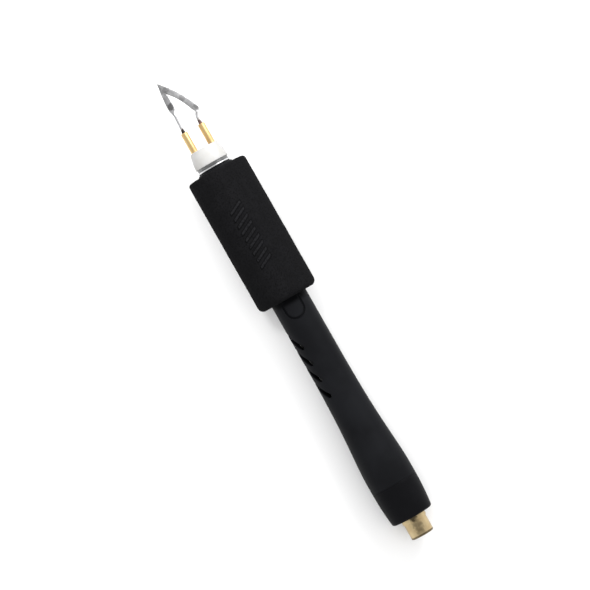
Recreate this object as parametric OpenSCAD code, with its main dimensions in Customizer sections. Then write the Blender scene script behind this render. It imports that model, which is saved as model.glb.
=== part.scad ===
// Wood burning pen: fixed skew tip on two brass posts, foam grip, vented handle and phono jack.
// Millimetres. The pen lies along X with its tip towards +X, and +Z is up.

/* [Handle] */
// Outside diameter of the straight stretch of the handle
handle_d = 12.7; // [10.5:0.1:16]
// Wall of the handle
handle_wall = 1.2; // [0.8:0.05:1.6]
// Length of the handle, from the parting line to its front face
handle_len = 119.4; // [99:0.1:144]
// Bevel round the front face of the handle
front_bevel = 0.7; // [0.3:0.1:1.1]
// Largest diameter of the flared tail
flare_d = 16.1; // [14.5:0.1:20]
// Length over which the handle flares
flare_len = 40; // [30:0.5:48]
// Straight land between the flare and the parting line
flare_land = 4.6; // [2:0.1:8]
// Width of the moulded tongue behind the grip
tongue_w = 7.0; // [4:0.1:9]
// How far the tongue shows behind the grip
tongue_len = 7.4; // [4:0.1:12]
// Width of the groove round the tongue
groove_w = 0.7; // [0.3:0.05:1]
// Depth of the groove round the tongue
groove_depth = 0.45; // [0.2:0.05:0.6]

/* [Vents] */
// Number of vent slots in a row
slot_count = 4; // [2:1:5]
// Distance between neighbouring slots along the handle
slot_pitch = 6.0; // [4.5:0.05:7.5]
// Width of a slot
slot_w = 1.6; // [0.8:0.1:2]
// Length of a slot from end to end
slot_len = 11; // [7:0.1:12.8]
// Slant of a slot from the crosswise direction, in degrees
slot_slant = 40; // [0:1:50]
// Distance from the grip's rear end to the middle of the first slot
slot_first = 12.8; // [10:0.1:18]
// Direction in which the slots are cut, in degrees from the top
slot_side = 71; // [60:1:90]

/* [Grip] */
// Outside diameter of the foam grip
grip_d = 21.2; // [17.5:0.1:26]
// Length of the foam grip
grip_len = 48.5; // [40:0.1:58]
// Distance from the front face of the handle back to the grip
grip_setback = 0.8; // [0.5:0.1:3]
// Radius of the grip's front corner
grip_front_r = 1.2; // [0.5:0.1:2]
// Radius of the grip's rear corner
grip_rear_r = 2.0; // [1:0.1:3.5]
// Bevel at the mouths of the grip's bore
grip_mouth = 0.5; // [0.2:0.1:1]

/* [Tip head] */
// Diameter of the domed front of the white base
base_d = 11.8; // [11:0.1:14.5]
// Diameter of the base's front face
base_top_d = 9.9; // [8.8:0.1:12]
// Height of the domed front
base_h = 5.8; // [4:0.1:8]
// Length of the base's shank inside the handle
shank_len = 20; // [10:0.5:30]
// Diameter of the polished ring
ferrule_d = 11.5; // [11:0.1:14]
// Height of the polished ring
ferrule_h = 1.8; // [1.2:0.1:3]
// Diameter of a brass post
post_d = 2.4; // [2:0.05:2.9]
// Insulating wall between a post and the outside of the shank
post_cover = 0.72; // [0.5:0.02:1]
// Length of a post in front of the base
post_out = 7.4; // [5:0.1:11]
// Length of a post behind the shank
post_tail = 8; // [5:0.5:12]
// Diameter of the tip wire
wire_d = 0.9; // [0.7:0.05:1.1]
// Depth of the socket for the tip wire in each post
wire_socket = 6; // [3:0.5:8]

/* [Skew blade] */
// Height of the solder collar round each leg of the tip
collar_h = 1.5; // [0.6:0.1:1.8]
// Height of the tip above the posts
tip_h = 18.4; // [15:0.1:23]
// Thickness of the blade
blade_t = 0.55; // [0.3:0.05:0.8]
// Width of the blade's straight limb
straight_w = 2.1; // [1.4:0.05:3]
// Width of the blade's slanted limb
slant_w = 2.4; // [1.8:0.05:3.4]
// Depth of the solid point above the gap between the limbs
point_depth = 4.5; // [3.5:0.1:6]
// Height of the straight limb's heel above the posts
straight_heel = 7.0; // [5:0.1:9]
// Height of the slanted limb's heel above the posts
slant_heel = 4.7; // [3.9:0.1:6]
// How far the slanted limb's heel stands out past its post
heel_out = 2.1; // [1.2:0.1:2.6]
// Bulge of the slanted limb's outer edge
edge_bulge = 0.85; // [0:0.05:1.1]
// Bulge of the slanted limb's inner edge
slant_bulge = 0.5; // [0:0.05:0.8]

/* [Rear cap] */
// Length of the cap behind the parting line
cap_len = 12.3; // [10:0.1:16]
// Diameter of the cap's rear face
cap_end_d = 14.5; // [13.6:0.1:16]
// Radius of the cap's rear edge
cap_edge_r = 0.8; // [0.3:0.1:1.2]
// Wall of the cap
cap_wall = 1.5; // [1.2:0.1:1.9]
// Thickness of the cap's floor, which the jack clamps
cap_floor = 2.6; // [1.5:0.1:4]
// Length of the spigot inside the handle
spigot_len = 7.5; // [4:0.1:12]
// Wall of the spigot
spigot_wall = 1.2; // [0.8:0.1:1.6]
// Bevel at the parting line, on both pieces
parting_bevel = 0.15; // [0.05:0.05:0.4]

/* [Jack] */
// Outside diameter of the jack's barrel
barrel_d = 8.0; // [7.5:0.05:10]
// Length of the barrel behind its flange
barrel_len = 5.6; // [5:0.1:9]
// Wall of the barrel
barrel_wall = 0.7; // [0.5:0.05:1]
// Radius of the barrel's rolled rim
rim_r = 0.6; // [0.2:0.05:0.65]
// How far the flange stands out past the barrel
flange_lip = 0.3; // [0.1:0.05:1]
// Height of the flange
flange_h = 1.5; // [1:0.1:3]
// Width of the two spanner notches in the flange
spanner_w = 1.2; // [0.6:0.1:2]
// Depth of the spanner notches
spanner_depth = 0.3; // [0.1:0.05:0.5]
// Diameter of the threaded bushing
bushing_d = 6.35; // [6:0.05:7.2]
// Wall of the bushing
bushing_wall = 0.65; // [0.4:0.05:0.8]
// Inside diameter of the centre contact
socket_d = 3.3; // [3:0.05:3.4]
// Wall of the centre contact
contact_wall = 0.27; // [0.2:0.01:0.4]
// Depth of the centre contact's bore
socket_depth = 8.5; // [6:0.1:10]
// Width of a slit in the centre contact
slit_w = 0.3; // [0.2:0.05:0.5]
// Size of the nut across its flats
nut_flats = 8.8; // [8.5:0.1:9.4]
// Thickness of the nut
nut_h = 2; // [1.4:0.1:3]
// Thickness of the ground lug and of the lock washer
tag_t = 0.5; // [0.3:0.05:0.8]
// Width of the ground lug's solder tab
tab_w = 2.6; // [1.6:0.1:3.2]

/* [Leads] */
// Diameter of a lead's copper core
core_d = 1.3; // [0.9:0.05:1.5]
// Outside diameter of a lead's insulation
lead_d = 2.4; // [1.9:0.05:2.6]
// Wall of the heat-shrink sleeves
sleeve_wall = 0.35; // [0.2:0.05:0.5]
// Length of a heat-shrink sleeve
sleeve_len = 13; // [9:0.5:16]
// Slack of the leads, as their rise in the middle of the handle
lead_slack = 1.2; // [0:0.1:2]

/* [Clearances] */
// Radial clearance of the grip on the handle
grip_clear = 0.06; // [0.02:0.01:0.1]
// Radial clearance between pieces that are assembled for good
fit = 0.03; // [0.01:0.01:0.06]

/* [Hidden] */

$fn = 96;
FLARE_STEPS = 24;
FLARE_RATE = 2.24;
FLARE_POWER = 1.6;
ARC_STEPS = 8;
LEAD_SIDES = 12;
LEAD_STEPS = 26;
BLADE_SIDES = 16;
LIMB_STEPS = 7;
PAST = 1; // how far a cut runs past the face it opens
LEFT = 1;
RIGHT = -1;

// Stations along the pen, measured from the rear end of the jack
flange_z = barrel_len;
cap_z = flange_z + flange_h;
parting_z = cap_z + cap_len;
flare_z = parting_z + flare_land;
straight_z = flare_z + flare_len;
front_z = parting_z + handle_len;
base_z = front_z + ferrule_h;
base_top_z = base_z + base_h;
post_top_z = base_top_z + post_out;
apex_z = post_top_z + tip_h;
grip_front_z = front_z - grip_setback;
grip_rear_z = grip_front_z - grip_len;
shank_z = base_z - shank_len;
post_rear_z = shank_z - post_tail;

// Radii that follow from the sizes above
handle_r = handle_d / 2;
bore_r = handle_r - handle_wall;
flare_r = flare_d / 2;
grip_r = grip_d / 2;
shank_r = bore_r - fit;
post_r = post_d / 2;
post_x = shank_r - post_cover - post_r;
wire_r = wire_d / 2;
cup_r = core_d / 2 + 0.12;
cup_depth = 5;
spigot_r = flare_r - handle_wall - fit;
barrel_r = barrel_d / 2;
barrel_bore_r = barrel_r - barrel_wall;
flange_r = barrel_r + flange_lip;
bushing_r = bushing_d / 2;
bushing_bore_r = bushing_r - bushing_wall;
socket_r = socket_d / 2;
contact_r = socket_r + contact_wall;
lug_z = cap_z + cap_floor;
washer_z = lug_z + tag_t;
nut_z = washer_z + tag_t;
bushing_end_z = nut_z + nut_h + 1.5;
insulator_step_z = flange_z + 0.5;
insulator_end_z = bushing_end_z + 2;
insulator_front_z = 0.5;
contact_front_z = insulator_front_z + 0.4;
contact_web = 1.5;
contact_end_z = insulator_end_z - 1;
tail_r = 1.0;
tail_end_z = insulator_end_z + 7;
tail_cup = 3;
tab_x = -(nut_flats / 2 + 0.2);
tab_end_z = tail_end_z;
lead_r = lead_d / 2;
bare = 1.5; // copper left bare at each end of a lead
ground_x = tab_x + core_d / 2 + fit;
post_sleeve_z = post_rear_z + 4 - sleeve_len;
jack_sleeve_z = tail_end_z - 5;

// Turns a shape drawn along Z, with X to the pen's left and Y up, into the pen's own frame:
// the origin is on the pen's axis, half way along it
module laid() {
    translate([-apex_z / 2, 0, 0]) rotate([90, 0, 90]) children();
}

// A ring or rod of revolution from z0 to z1
module tube(z0, z1, outer, inner) {
    translate([0, 0, z0]) difference() {
        cylinder(h = z1 - z0, r = outer);
        translate([0, 0, -PAST]) cylinder(h = z1 - z0 + 2 * PAST, r = inner);
    }
}

module rod(z0, z1, radius) {
    translate([0, 0, z0]) cylinder(h = z1 - z0, r = radius);
}

function mix(a, b, t) = a + (b - a) * t;
function ease(t) = t * t * (3 - 2 * t);

// A quarter round corner: centre, radius and the angles it runs between
function corner(centre, radius, from, to) = [
    for (i = [0:ARC_STEPS])
        let (a = mix(from, to, i / ARC_STEPS))
        centre + radius * [cos(a), sin(a)]
];

// ---------- handle ----------

// The flare drops away from its land and runs out into the straight handle in a long tail
function decay(t) = exp(-pow(FLARE_RATE * t, FLARE_POWER));
function flare_at(z) =
    let (t = min(1, max(0, (z - flare_z) / flare_len)))
    mix(handle_r, flare_r, (decay(t) - decay(1)) / (1 - decay(1)));
flare_zs = [for (i = [0:FLARE_STEPS]) mix(flare_z, straight_z, i / FLARE_STEPS)];
seat_end_z = parting_z + spigot_len + fit;

module handle_outline() {
    polygon(concat(
        [[spigot_r + fit, parting_z], [flare_r - parting_bevel, parting_z], [flare_r, parting_z + parting_bevel]],
        [for (z = flare_zs) [flare_at(z), z]],
        [[handle_r, front_z - front_bevel], [handle_r - front_bevel, front_z], [bore_r, front_z]],
        [for (i = [FLARE_STEPS:-1:0]) if (flare_zs[i] > seat_end_z) [flare_at(flare_zs[i]) - handle_wall, flare_zs[i]]],
        [[flare_at(seat_end_z) - handle_wall, seat_end_z], [spigot_r + fit, seat_end_z]]
    ));
}

module slot_outline() {
    half = (slot_len - slot_w) / 2;
    square([2 * half, slot_w], center = true);
    for (end = [-half, half]) translate([end, 0]) circle(d = slot_w);
}

// A row of slanted slots, cut through the wall from the left
module slot_row() {
    for (i = [0:slot_count - 1])
        translate([0, 0, grip_rear_z - slot_first - i * slot_pitch])
            rotate([0, 0, 90 - slot_side]) rotate([90, 0, 90])
                linear_extrude(height = flare_r + PAST) rotate(-slot_slant) slot_outline();
}

// A strip with a round end towards the tail, that runs on under the grip
module tongue_outline(r) {
    end_z = grip_rear_z - tongue_len + tongue_w / 2;
    translate([0, end_z]) circle(r = r);
    translate([-r, end_z]) square([2 * r, tongue_len]);
}

// The groove round the tongue, of one depth all over
module tongue_groove() {
    intersection() {
        rotate([90, 0, 180]) linear_extrude(height = flare_r) difference() {
            tongue_outline(tongue_w / 2);
            tongue_outline(tongue_w / 2 - groove_w);
        }
        tube(grip_rear_z - 2 * tongue_len, grip_rear_z + 2 * tongue_len, flare_r, handle_r - groove_depth);
    }
}

module handle() {
    color([0.10, 0.11, 0.12]) laid() difference() {
        rotate_extrude() handle_outline();
        slot_row();
        tongue_groove();
    }
}

// ---------- grip ----------

module foam_grip() {
    bore = handle_r + grip_clear;
    color([0.09, 0.09, 0.09]) laid() rotate_extrude() polygon(concat(
        [[bore, grip_rear_z + grip_mouth], [bore + grip_mouth, grip_rear_z]],
        corner([grip_r - grip_rear_r, grip_rear_z + grip_rear_r], grip_rear_r, -90, 0),
        corner([grip_r - grip_front_r, grip_front_z - grip_front_r], grip_front_r, 0, 90),
        [[bore + grip_mouth, grip_front_z], [bore, grip_front_z - grip_mouth]]
    ));
}

// ---------- tip head ----------

// A rounded bead against the handle and a plain neck under the base
module front_ferrule() {
    bead_r = ferrule_h / 4;
    ring_r = ferrule_d / 2;
    neck_r = ring_r - 0.25;
    color([0.75, 0.76, 0.78]) laid() rotate_extrude() polygon(concat(
        [[bore_r, front_z], [ring_r - bead_r, front_z]],
        corner([ring_r - bead_r, front_z + bead_r], bead_r, -90, 90),
        [[neck_r, front_z + 2 * bead_r], [neck_r, base_z], [bore_r, base_z]]
    ));
}

// The base's dome: a quarter-round curve from its foot to the edge of its front face
module base_outline() {
    top_r = base_top_d / 2;
    lip = 0.3;
    polygon(concat(
        [[0, shank_z], [shank_r - lip, shank_z], [shank_r, shank_z + lip], [shank_r, base_z]],
        [for (i = [0:ARC_STEPS])
            let (t = i / ARC_STEPS)
            [top_r + (base_d / 2 - top_r) * (1 - t * t), base_z + (base_h - lip) * t]],
        [[top_r - lip, base_top_z], [0, base_top_z]]
    ));
}

module tip_base() {
    color([0.95, 0.95, 0.94]) laid() difference() {
        rotate_extrude() base_outline();
        for (side = [LEFT, RIGHT])
            translate([side * post_x, 0, 0]) rod(shank_z - PAST, base_top_z + PAST, post_r + fit);
    }
}

module post(side) {
    bevel = 0.4;
    color([0.85, 0.67, 0.33]) laid() translate([side * post_x, 0, 0]) rotate_extrude() polygon([
        [0, post_rear_z + cup_depth], [cup_r, post_rear_z + cup_depth], [cup_r, post_rear_z],
        [post_r, post_rear_z], [post_r, post_top_z - bevel], [post_r - bevel, post_top_z],
        [wire_r + fit, post_top_z], [wire_r + fit, post_top_z - wire_socket], [0, post_top_z - wire_socket]
    ]);
}

module left_post() { post(LEFT); }

module right_post() { post(RIGHT); }

// ---------- skew blade ----------

// The blade is one wire. Each station across it is [outer edge, inner edge, thickness, keenness],
// and keenness thins the outer edge: 0 is a round wire, 1 a cutting edge.
wire_foot_z = post_top_z - wire_socket + fit;
apex = [post_x - 0.3, apex_z];
notch = [post_x - 1.3, apex_z - point_depth];
straight_outer = [post_x + 0.75, post_top_z + straight_heel + 1.3];
straight_inner = straight_outer - [straight_w, 0];
slant_outer = [-post_x - heel_out, post_top_z + slant_heel + 0.5];
slant_inner = slant_outer + [slant_w, 0.4];
foot_top_z = post_top_z + collar_h + 0.2; // the legs stand straight up to here

// A point on a line from a to b that bows out by bulge towards the left of its direction
function bowed(a, b, t, bulge) =
    let (along = (b - a) / norm(b - a))
    mix(a, b, t) + [-along[1], along[0]] * bulge * 4 * t * (1 - t);

function wire_at(x, z, lean) = [[x + wire_r, z + lean], [x - wire_r, z - lean], wire_d, 0];

straight_leg = [
    wire_at(post_x, wire_foot_z, 0),
    wire_at(post_x, foot_top_z, 0),
    wire_at(post_x - 0.15, post_top_z + straight_heel - 2.2, 0),
    wire_at(post_x - 0.2, post_top_z + straight_heel - 0.9, 0),
    [[post_x + 0.4, post_top_z + straight_heel + 0.2], [post_x - 0.75, post_top_z + straight_heel + 0.4], 0.75, 0.3]
];
straight_limb = [
    for (i = [0:LIMB_STEPS])
        let (t = i / (LIMB_STEPS + 1))
        [bowed(straight_outer, apex, t, -0.3), bowed(straight_inner, notch, t, 0.2), blade_t, 0.75]
];
slant_limb = [
    for (i = [LIMB_STEPS:-1:0])
        let (t = i / (LIMB_STEPS + 1))
        [bowed(slant_outer, apex, t, edge_bulge), bowed(slant_inner, notch, t, slant_bulge), blade_t, 0.75]
];
slant_leg = [
    [[-post_x - heel_out + 0.3, post_top_z + slant_heel - 0.3], [-post_x - 0.1, post_top_z + slant_heel + 0.3], 0.65, 0.5],
    [[-post_x - 1.15, post_top_z + slant_heel - 0.9], [-post_x - 0.35, post_top_z + slant_heel - 0.55], wire_d, 0],
    [[-post_x - 0.75, post_top_z + slant_heel - 1.5], [-post_x + 0.1, post_top_z + slant_heel - 1.2], wire_d, 0],
    [[-post_x - wire_r, foot_top_z], [-post_x + wire_r, foot_top_z], wire_d, 0],
    [[-post_x - wire_r, wire_foot_z], [-post_x + wire_r, wire_foot_z], wire_d, 0]
];
blade_stations = concat(straight_leg, straight_limb, [[apex, notch, blade_t, 0.9]], slant_limb, slant_leg);

function blade_ring(station) = [
    for (i = [0:BLADE_SIDES - 1])
        let (
            a = 360 * i / BLADE_SIDES,
            middle = (station[0] + station[1]) / 2,
            point = middle + (station[0] - station[1]) / 2 * cos(a),
            half_t = station[2] / 2 * sin(a) * (1 - station[3] * (1 + cos(a)) / 2)
        )
        [point[0], half_t, point[1]]
];

// Joins rings of points into one closed skin
module skin(rings) {
    n = len(rings[0]);
    last = len(rings) - 1;
    polyhedron(
        points = [for (ring = rings) each ring],
        faces = concat(
            [[for (i = [0:n - 1]) i]],
            [for (k = [0:last - 1], i = [0:n - 1]) each [
                [k * n + i, (k + 1) * n + i, (k + 1) * n + (i + 1) % n],
                [k * n + i, (k + 1) * n + (i + 1) % n, k * n + (i + 1) % n]
            ]],
            [[for (i = [n - 1:-1:0]) last * n + i]]
        )
    );
}

module skew_tip() {
    color([0.62, 0.62, 0.64]) laid() skin([for (s = blade_stations) blade_ring(s)]);
}

module tip_solder() {
    color([0.20, 0.17, 0.16]) laid() for (side = [LEFT, RIGHT])
        translate([side * post_x, 0, post_top_z]) difference() {
            cylinder(h = collar_h, r1 = wire_r + 0.25, r2 = wire_r + 0.08);
            translate([0, 0, -PAST]) cylinder(h = collar_h + 2 * PAST, r = wire_r + fit);
        }
}

// ---------- rear cap ----------

// Radius of the cap, which narrows in a curve from the parting line to its rear face
function cap_at(z) = flare_r - (flare_r - cap_end_d / 2) * pow((parting_z - z) / cap_len, 2);

module rear_cap() {
    edge_z = cap_z + cap_edge_r;
    cavity_r = min(cap_end_d / 2 - cap_wall, spigot_r - spigot_wall);
    color([0.09, 0.10, 0.11]) laid() difference() {
        rotate_extrude() polygon(concat(
            [[0, cap_z]],
            corner([cap_at(edge_z) - cap_edge_r, edge_z], cap_edge_r, -90, 0),
            [for (i = [1:ARC_STEPS])
                let (z = mix(edge_z, parting_z - parting_bevel, i / ARC_STEPS))
                [cap_at(z), z]],
            [[flare_r - parting_bevel, parting_z], [spigot_r, parting_z], [spigot_r, parting_z + spigot_len],
             [0, parting_z + spigot_len]]
        ));
        rod(lug_z, parting_z + spigot_len + PAST, cavity_r);
        rod(cap_z - PAST, lug_z + PAST, bushing_r + fit);
    }
}

// ---------- jack ----------

module jack_shell() {
    edge = 0.15;
    color([0.86, 0.72, 0.38]) laid() difference() {
        rotate_extrude() polygon(concat(
            [[barrel_bore_r, insulator_step_z], [barrel_bore_r, 0]],
            corner([barrel_r - rim_r, rim_r], rim_r, -90, 0),
            [[barrel_r, flange_z], [flange_r - edge, flange_z], [flange_r, flange_z + edge],
             [flange_r, cap_z], [bushing_r, cap_z], [bushing_r, bushing_end_z - edge],
             [bushing_r - edge, bushing_end_z], [bushing_bore_r, bushing_end_z],
             [bushing_bore_r, insulator_step_z]]
        ));
        for (side = [-1, 1]) translate([-spanner_w / 2, side * flange_r - spanner_depth, flange_z - PAST])
            cube([spanner_w, 2 * spanner_depth, flange_h - 0.3 + PAST]);
    }
}

module jack_insulator() {
    color([0.12, 0.12, 0.13]) laid() rotate_extrude() polygon([
        [contact_r + fit, insulator_front_z], [barrel_bore_r - fit, insulator_front_z],
        [barrel_bore_r - fit, insulator_step_z - fit], [bushing_bore_r - fit, insulator_step_z - fit],
        [bushing_bore_r - fit, insulator_end_z], [tail_r + fit, insulator_end_z],
        [tail_r + fit, contact_end_z + fit], [contact_r + fit, contact_end_z + fit]
    ]);
}

module jack_contact() {
    bore_end_z = contact_front_z + socket_depth;
    tail_cup_z = tail_end_z - tail_cup;
    color([0.86, 0.70, 0.36]) laid() difference() {
        rotate_extrude() polygon([
            [socket_r, contact_front_z], [contact_r, contact_front_z], [contact_r, contact_end_z],
            [tail_r, contact_end_z], [tail_r, tail_end_z], [cup_r, tail_end_z], [cup_r, tail_cup_z],
            [0, tail_cup_z], [0, bore_end_z], [socket_r, bore_end_z]
        ]);
        translate([-contact_r - PAST, -slit_w / 2, contact_front_z - PAST])
            cube([2 * (contact_r + PAST), slit_w, socket_depth - contact_web + PAST]);
    }
}

module ground_lug() {
    color([0.78, 0.78, 0.74]) laid() {
        difference() {
            union() {
                rod(lug_z, washer_z, nut_flats / 2);
                translate([tab_x - tag_t, -tab_w / 2, lug_z]) cube([-tab_x, tab_w, tag_t]);
            }
            rod(lug_z - PAST, washer_z + PAST, bushing_r + fit);
        }
        translate([tab_x - tag_t, -tab_w / 2, lug_z]) cube([tag_t, tab_w, tab_end_z - lug_z]);
    }
}

module lock_washer() {
    gap = 0.8;
    color([0.70, 0.71, 0.72]) laid() difference() {
        tube(washer_z, nut_z, nut_flats / 2 - 0.3, bushing_r + fit);
        translate([0, -gap / 2, washer_z - PAST]) cube([nut_flats, gap, tag_t + 2 * PAST]);
    }
}

module jack_nut() {
    color([0.74, 0.75, 0.76]) laid() difference() {
        translate([0, 0, nut_z]) rotate(30) cylinder(h = nut_h, d = nut_flats / cos(30), $fn = 6);
        rod(nut_z - PAST, nut_z + nut_h + PAST, bushing_r + fit);
    }
}

// ---------- leads ----------

// A lead leaves its post straight, eases across the handle, and enters its terminal straight
// It crosses over inside the flare, where there is room, and rises inside the straight stretch
run_front_z = post_sleeve_z - 3;
run_rear_z = jack_sleeve_z + sleeve_len + 1;

function part_way(z, from, to) = min(1, max(0, (z - from) / (to - from)));
function lead_point(z, front_x, rear_x) = [
    mix(front_x, rear_x, ease(part_way(z, straight_z, run_rear_z))),
    lead_slack * pow(sin(180 * part_way(z, run_front_z, straight_z)), 2),
    z
];

// Rings square to the pen's axis, which the leads never leave by more than a few degrees
function lead_rings(front_z, rear_z, front_x, rear_x, radius) = [
    for (k = [0:LEAD_STEPS])
        let (p = lead_point(mix(front_z, rear_z, k / LEAD_STEPS), front_x, rear_x))
        [for (i = [0:LEAD_SIDES - 1])
            let (a = 360 * i / LEAD_SIDES)
            p + radius * [cos(a), sin(a), 0]]
];

module lead_core(side, rear_x, rear_z) {
    color([0.80, 0.48, 0.32]) laid()
        skin(lead_rings(post_rear_z + cup_depth - fit, rear_z, side * post_x, rear_x, core_d / 2));
}

module lead_insulation(side, rear_x, rear_z) {
    front = post_rear_z - bare;
    outer = lead_rings(front, rear_z, side * post_x, rear_x, lead_r);
    inner = lead_rings(front, rear_z, side * post_x, rear_x, core_d / 2 + fit);
    n = LEAD_SIDES;
    last = LEAD_STEPS;
    inside = n * (last + 1);
    color([0.13, 0.13, 0.14]) laid() polyhedron(
        points = concat([for (ring = outer) each ring], [for (ring = inner) each ring]),
        faces = concat(
            [for (k = [0:last - 1], i = [0:n - 1])
                let (a = k * n + i, b = (k + 1) * n + i, c = (k + 1) * n + (i + 1) % n, d = k * n + (i + 1) % n)
                each [[a, c, b], [a, d, c], [inside + a, inside + b, inside + c], [inside + a, inside + c, inside + d]]],
            [for (i = [0:n - 1])
                let (j = (i + 1) % n, e = last * n)
                each [[i, inside + i, inside + j], [i, inside + j, j],
                      [e + i, inside + e + j, inside + e + i], [e + i, e + j, inside + e + j]]]
        )
    );
}

module left_lead_core() { lead_core(LEFT, 0, tail_end_z - tail_cup + fit); }

module left_lead_insulation() { lead_insulation(LEFT, 0, tail_end_z + bare); }

module right_lead_core() { lead_core(RIGHT, ground_x, tab_end_z - 4); }

module right_lead_insulation() { lead_insulation(RIGHT, ground_x, tab_end_z + bare); }

// Heat-shrink from z0, shrunk to rear_r, that steps at the joint to front_r
module sleeve(x, z0, joint_z, rear_r, front_r) {
    step = 0.6;
    bore = [[rear_r + fit, z0], [rear_r + fit, joint_z - step], [front_r + fit, joint_z + step],
            [front_r + fit, z0 + sleeve_len]];
    color([0.16, 0.16, 0.17]) laid() translate([x, 0, 0]) rotate_extrude() polygon(concat(
        bore,
        [for (i = [len(bore) - 1:-1:0]) bore[i] + [sleeve_wall, 0]]
    ));
}

module left_post_sleeve() { sleeve(post_x, post_sleeve_z, post_rear_z - bare / 2, lead_r, post_r); }

module right_post_sleeve() { sleeve(-post_x, post_sleeve_z, post_rear_z - bare / 2, lead_r, post_r); }

module jack_sleeve() { sleeve(0, jack_sleeve_z, tail_end_z + bare / 2, tail_r, lead_r); }

// A cone of solder round a core, wide at the terminal's end
module solder_bead(z0, z1, radius0, radius1) {
    translate([0, 0, z0]) difference() {
        cylinder(h = z1 - z0, r1 = radius0, r2 = radius1);
        translate([0, 0, -PAST]) cylinder(h = z1 - z0 + 2 * PAST, r = core_d / 2 + fit / 2);
    }
}

module solder_joints() {
    bead = 0.9;
    slim = core_d / 2 + 0.15;
    color([0.72, 0.72, 0.70]) laid() {
        for (side = [LEFT, RIGHT])
            translate([side * post_x, 0, 0])
                solder_bead(post_rear_z - bead, post_rear_z, slim, post_r - 0.15);
        solder_bead(tail_end_z, tail_end_z + bead, tail_r - 0.05, slim);
        translate([ground_x, 0, 0]) difference() {
            rod(tab_end_z - 3.5, tab_end_z - 1, core_d / 2 + 0.3);
            rod(tab_end_z - 4, tab_end_z, core_d / 2 + fit / 2);
            translate([-2 * lead_r - core_d / 2 - fit, -lead_r, tab_end_z - 4])
                cube([2 * lead_r, 2 * lead_r, 4]);
        }
    }
}

skew_tip();
tip_solder();
left_post();
right_post();
tip_base();
front_ferrule();
handle();
foam_grip();
rear_cap();
jack_shell();
jack_insulator();
jack_contact();
ground_lug();
lock_washer();
jack_nut();
left_lead_core();
left_lead_insulation();
right_lead_core();
right_lead_insulation();
left_post_sleeve();
right_post_sleeve();
jack_sleeve();
solder_joints();
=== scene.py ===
"""A wood burning pen: a handle with a foam grip, a skew blade on two brass posts, and a phono jack.

The pen lies along X with its tip towards +X, its left side towards +Y and its top towards +Z.
"""

import math

import bmesh
import bpy
from bpy.props import FloatProperty, FloatVectorProperty, IntProperty, PointerProperty
from mathutils import Matrix, Vector, noise


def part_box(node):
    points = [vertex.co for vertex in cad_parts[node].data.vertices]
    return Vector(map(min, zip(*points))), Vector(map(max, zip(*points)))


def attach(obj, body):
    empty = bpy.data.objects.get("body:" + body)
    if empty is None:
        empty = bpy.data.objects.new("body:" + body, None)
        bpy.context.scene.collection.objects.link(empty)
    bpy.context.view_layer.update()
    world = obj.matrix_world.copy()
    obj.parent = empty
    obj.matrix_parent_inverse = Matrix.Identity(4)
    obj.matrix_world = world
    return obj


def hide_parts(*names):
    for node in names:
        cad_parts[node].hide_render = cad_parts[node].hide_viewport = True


bl_info = {
    "name": "Wood Burning Pen",
    "version": (1, 0, 0),
    "blender": (4, 5, 0),
    "location": "View3D > Sidebar > Burning Pen",
    "description": "Builds the finished pieces of a wood burning pen round its fixed frame",
    "category": "Object",
}

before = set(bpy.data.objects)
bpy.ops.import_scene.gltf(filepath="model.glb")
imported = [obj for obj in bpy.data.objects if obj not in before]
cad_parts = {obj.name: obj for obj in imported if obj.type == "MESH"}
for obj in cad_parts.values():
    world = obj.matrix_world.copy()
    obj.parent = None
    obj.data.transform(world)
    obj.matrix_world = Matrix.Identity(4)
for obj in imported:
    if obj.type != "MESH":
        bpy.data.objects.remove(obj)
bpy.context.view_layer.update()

MM = 0.001
SEAM = 0.001 * MM  # points closer than this are one point
FIT = 0.03 * MM  # gap between two pieces that are assembled for good
CUP_RADIUS = 0.77 * MM  # bore of the cups that the leads are soldered into
SHARP = math.radians(32)


def span(node):
    """The rear and front ends of a node of the frame."""
    low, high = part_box(node)
    return low.x, high.x


HANDLE_REAR, HANDLE_FRONT = span("handle")
GRIP_REAR, GRIP_FRONT = span("foam_grip")
CAP_REAR, CAP_FRONT = span("rear_cap")
FERRULE_REAR, FERRULE_FRONT = span("front_ferrule")
BASE_REAR, BASE_FRONT = span("tip_base")
POST_REAR, POST_FRONT = span("left_post")
JACK_REAR, JACK_FRONT = span("jack_shell")
INSULATOR_REAR, INSULATOR_FRONT = span("jack_insulator")
CONTACT_REAR, CONTACT_FRONT = span("jack_contact")
FLARE_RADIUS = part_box("handle")[1].y
GRIP_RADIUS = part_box("foam_grip")[1].z
FERRULE_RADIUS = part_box("front_ferrule")[1].z
BASE_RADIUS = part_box("tip_base")[1].z
JACK_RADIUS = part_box("jack_shell")[1].y
POST_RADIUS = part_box("left_post")[1].z
POST_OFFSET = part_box("left_post")[1].y - POST_RADIUS


# ---------- settings ----------


def length(name, description, millimetres):
    return FloatProperty(
        name=name, description=description, default=millimetres * MM, min=0.0, unit="LENGTH", precision=5
    )


def angle(name, description, degrees):
    return FloatProperty(name=name, description=description, default=math.radians(degrees), subtype="ANGLE")


def count(name, description, default, least, most):
    return IntProperty(name=name, description=description, default=default, min=least, max=most)


def colour(name, description, default):
    return FloatVectorProperty(
        name=name, description=description, default=default, min=0.0, max=1.0, size=3, subtype="COLOR"
    )


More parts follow.
